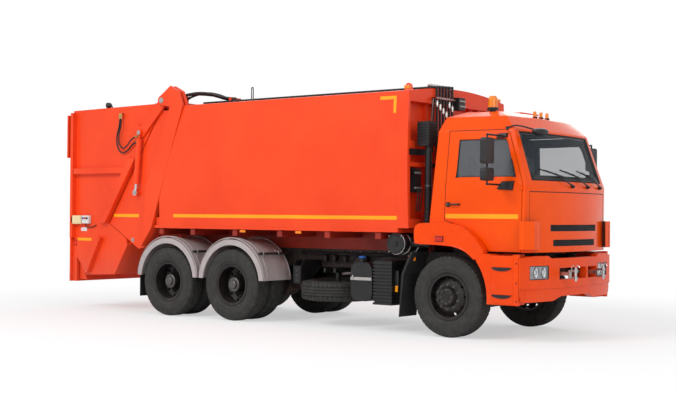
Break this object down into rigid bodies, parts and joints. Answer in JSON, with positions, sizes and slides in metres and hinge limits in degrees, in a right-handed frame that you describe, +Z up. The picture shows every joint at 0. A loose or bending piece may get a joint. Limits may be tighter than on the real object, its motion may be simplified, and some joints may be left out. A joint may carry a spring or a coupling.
{
  "type": "garbage truck",
  "caption": "Rear-loading garbage truck with a tilting cab, ejector container, lifting tailgate, packer plates and bin lift, on steered front and twin rear wheels",
  "frame": {"origin": "on the ground below the middle of the truck", "axes": "X forward, Y to the left, Z up"},
  "size_m": [8.9049, 3.04, 3.5049],
  "materials": {
    "container_paint": "semi-gloss red orange",
    "cab_paint": "gloss orange",
    "chassis_paint": "satin dark grey",
    "subframe_paint": "satin dark red",
    "guard_grey": "moulded",
    "black_plastic": "moulded",
    "rim_paint": "satin",
    "tyre_rubber": "moulded",
    "flap_rubber": "sheet",
    "bare_steel": "brushed",
    "clear_glass": "polished",
    "lamp_lens": "polished",
    "amber_lens": "polished",
    "seat_cloth": "woven",
    "tank_metal": "rolled",
    "plate_steel": "worn"
  },
  "bodies": {
    "chassis": {"chassis_frame": "chassis_paint", "engine_block": "chassis_paint", "front_axle": "chassis_paint", "rear_axles": "chassis_paint", "right_tank": "black_plastic", "louvred_box": "black_plastic", "air_intake": "black_plastic", "spare_tyre": "tyre_rubber", "spare_carrier": "rim_paint", "fuel_tank": "tank_metal", "battery_box": "black_plastic", "subframe": "subframe_paint", "container_sides": "container_paint", "container_roof": "container_paint", "container_floor": "container_paint", "container_front": "container_paint", "lifting_eyes": "container_paint", "rear_posts": "container_paint", "bumper": "cab_paint", "headlamps": "lamp_lens", "tow_jaws": "bare_steel", "cab_steps": "cab_paint", "rear_mudguards": "guard_grey", "mudflaps": "flap_rubber", "hydraulic_hoses": "black_plastic"},
    "cab": {"cab_shell": "cab_paint", "windscreen": "clear_glass", "dashboard": "black_plastic", "seats": "seat_cloth", "roof_lamps": "amber_lens", "cab_fenders": "cab_paint"},
    "tailgate": {"tailgate_sides": "container_paint", "tailgate_roof": "container_paint", "hopper": "container_paint"},
    "lift_barrels": {"lift_barrels": "bare_steel"},
    "lift_rods": {"lift_rods": "bare_steel"},
    "packer_carriage": {"packer_carriage": "plate_steel"},
    "packer_blade": {"packer_blade": "plate_steel"},
    "ejector": {"ejector": "plate_steel"},
    "bin_lift": {"bin_lift": "plate_steel"},
    "knuckle_right": {"knuckle_right": "chassis_paint"},
    "front_wheel_right": {"front_tyre_right": "tyre_rubber", "front_rim_right": "rim_paint"},
    "middle_wheels_right": {"middle_tyres_right": "tyre_rubber", "middle_rims_right": "rim_paint"},
    "rear_wheels_right": {"rear_tyres_right": "tyre_rubber", "rear_rims_right": "rim_paint"},
    "door_right": {"door_right": "cab_paint", "door_glass_right": "clear_glass", "mirrors_right": "black_plastic"},
    "knuckle_left": {"knuckle_left": "chassis_paint"},
    "front_wheel_left": {"front_tyre_left": "tyre_rubber", "front_rim_left": "rim_paint"},
    "middle_wheels_left": {"middle_tyres_left": "tyre_rubber", "middle_rims_left": "rim_paint"},
    "rear_wheels_left": {"rear_tyres_left": "tyre_rubber", "rear_rims_left": "rim_paint"},
    "door_left": {"door_left": "cab_paint", "door_glass_left": "clear_glass", "mirrors_left": "black_plastic"}
  },
  "joints": [
    {"name": "steer_left", "type": "hinge", "parent": "chassis", "child": "knuckle_left", "pos_m": [3.0125, 0.85, 0.525], "axis": [0, 0, 1], "range_deg": [-35, 35]},
    {"name": "front_wheel_spin_left", "type": "hinge", "parent": "knuckle_left", "child": "front_wheel_left", "pos_m": [3.0125, 1.028, 0.525], "axis": [0, 1, 0], "continuous": true},
    {"name": "middle_wheels_spin_left", "type": "hinge", "parent": "chassis", "child": "middle_wheels_left", "pos_m": [-0.6775, 0.931, 0.525], "axis": [0, 1, 0], "continuous": true},
    {"name": "rear_wheels_spin_left", "type": "hinge", "parent": "chassis", "child": "rear_wheels_left", "pos_m": [-1.9975, 0.931, 0.525], "axis": [0, 1, 0], "continuous": true},
    {"name": "door_open_left", "type": "hinge", "parent": "cab", "child": "door_left", "pos_m": [4.045, 1.1, 1.8], "axis": [0, 0, -1], "range_deg": [0, 70]},
    {"name": "steer_right", "type": "hinge", "parent": "chassis", "child": "knuckle_right", "pos_m": [3.0125, -0.85, 0.525], "axis": [0, 0, 1], "range_deg": [-35, 35]},
    {"name": "front_wheel_spin_right", "type": "hinge", "parent": "knuckle_right", "child": "front_wheel_right", "pos_m": [3.0125, -1.028, 0.525], "axis": [0, 1, 0], "continuous": true},
    {"name": "middle_wheels_spin_right", "type": "hinge", "parent": "chassis", "child": "middle_wheels_right", "pos_m": [-0.6775, -0.931, 0.525], "axis": [0, 1, 0], "continuous": true},
    {"name": "rear_wheels_spin_right", "type": "hinge", "parent": "chassis", "child": "rear_wheels_right", "pos_m": [-1.9975, -0.931, 0.525], "axis": [0, 1, 0], "continuous": true},
    {"name": "door_open_right", "type": "hinge", "parent": "cab", "child": "door_right", "pos_m": [4.045, -1.1, 1.8], "axis": [0, 0, 1], "range_deg": [0, 70]},
    {"name": "cab_tilt", "type": "hinge", "parent": "chassis", "child": "cab", "pos_m": [4.1625, 0, 1.135], "axis": [0, 1, 0], "range_deg": [0, 45]},
    {"name": "tailgate_lift", "type": "hinge", "parent": "chassis", "child": "tailgate", "pos_m": [-2.1415, 0, 3.291], "axis": [0, 1, 0], "range_deg": [0, 60]},
    {"name": "barrels_swing", "type": "hinge", "parent": "tailgate", "child": "lift_barrels", "pos_m": [-2.6395, 0, 2.812], "axis": [0, 1, 0], "range_deg": [-70, 0]},
    {"name": "rods_extend", "type": "slide", "parent": "lift_barrels", "child": "lift_rods", "axis": [-0.0876, 0, -0.9962], "range_m": [0, 0.68]},
    {"name": "carriage_slide", "type": "slide", "parent": "tailgate", "child": "packer_carriage", "axis": [-0.5505, 0, -0.8348], "range_m": [0, 0.7]},
    {"name": "blade_swing", "type": "hinge", "parent": "packer_carriage", "child": "packer_blade", "pos_m": [-3.08766, 0, 2.25591], "axis": [0, 1, 0], "range_deg": [0, 85]},
    {"name": "ejector_slide", "type": "slide", "parent": "chassis", "child": "ejector", "axis": [-1, 0, 0], "range_m": [0, 3.7]},
    {"name": "bin_lift_swing", "type": "hinge", "parent": "tailgate", "child": "bin_lift", "pos_m": [-4.3455, 0, 1.33], "axis": [0, 1, 0], "range_deg": [0, 135]}
  ],
  "couplings": [
    {"joint": "steer_right", "follows": "steer_left", "ratio": 1},
    {"joint": "barrels_swing", "follows": "tailgate_lift", "ratio": -1.134},
    {"joint": "rods_extend", "follows": "tailgate_lift", "m_per_rad": 0.639}
  ]
}
